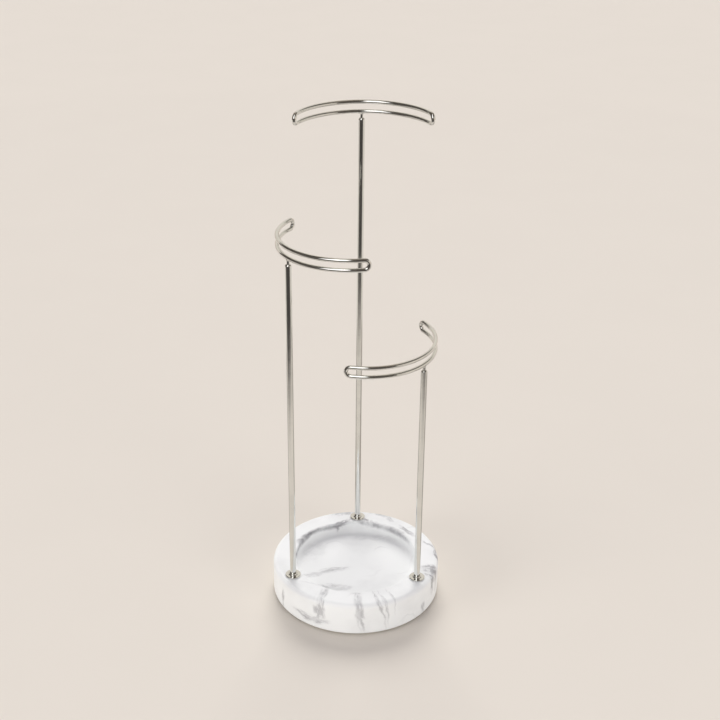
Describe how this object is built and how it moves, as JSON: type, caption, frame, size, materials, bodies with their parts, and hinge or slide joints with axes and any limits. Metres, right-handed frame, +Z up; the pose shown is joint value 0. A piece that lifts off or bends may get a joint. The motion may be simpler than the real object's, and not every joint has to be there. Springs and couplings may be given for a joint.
{
  "type": "jewelry stand",
  "caption": "Three-tier jewellery stand: a round marble ring dish carries upright metal rods, each topped by a curved wire loop that swivels to hold necklaces and bracelets.",
  "frame": {"origin": "on the table under the centre of the round tray, at the underside of its pads", "axes": "+Z up along the rods; +Y from the centre towards the tallest rod, which stands at the back; +X to the right seen from the front"},
  "size_m": [0.14, 0.14, 0.408],
  "materials": {
    "marble": "polished",
    "polished_nickel": "polished",
    "zinc_steel": "satin",
    "pad_rubber": "matte"
  },
  "bodies": {
    "stand": {"tray": "marble", "left_pad": "pad_rubber", "front_pad": "pad_rubber", "right_pad": "pad_rubber", "tall_rod": "polished_nickel", "tall_rod_flange": "polished_nickel", "tall_rod_washer": "zinc_steel", "tall_rod_screw": "zinc_steel", "middle_rod": "polished_nickel", "middle_rod_flange": "polished_nickel", "middle_rod_washer": "zinc_steel", "middle_rod_screw": "zinc_steel", "short_rod": "polished_nickel", "short_rod_flange": "polished_nickel", "short_rod_washer": "zinc_steel", "short_rod_screw": "zinc_steel"},
    "tall_arm": {"tall_loop": "polished_nickel", "tall_neck_pin": "polished_nickel"},
    "middle_arm": {"middle_loop": "polished_nickel", "middle_neck_pin": "polished_nickel"},
    "short_arm": {"short_loop": "polished_nickel", "short_neck_pin": "polished_nickel"}
  },
  "joints": [
    {"name": "tall_loop_swivel", "type": "hinge", "parent": "stand", "child": "tall_arm", "pos_m": [0, 0.05935, 0.394], "axis": [0, 0, 1], "continuous": true},
    {"name": "middle_loop_swivel", "type": "hinge", "parent": "stand", "child": "middle_arm", "pos_m": [-0.0514, -0.02967, 0.308], "axis": [0, 0, 1], "continuous": true},
    {"name": "short_loop_swivel", "type": "hinge", "parent": "stand", "child": "short_arm", "pos_m": [0.0514, -0.02967, 0.223], "axis": [0, 0, 1], "continuous": true}
  ]
}
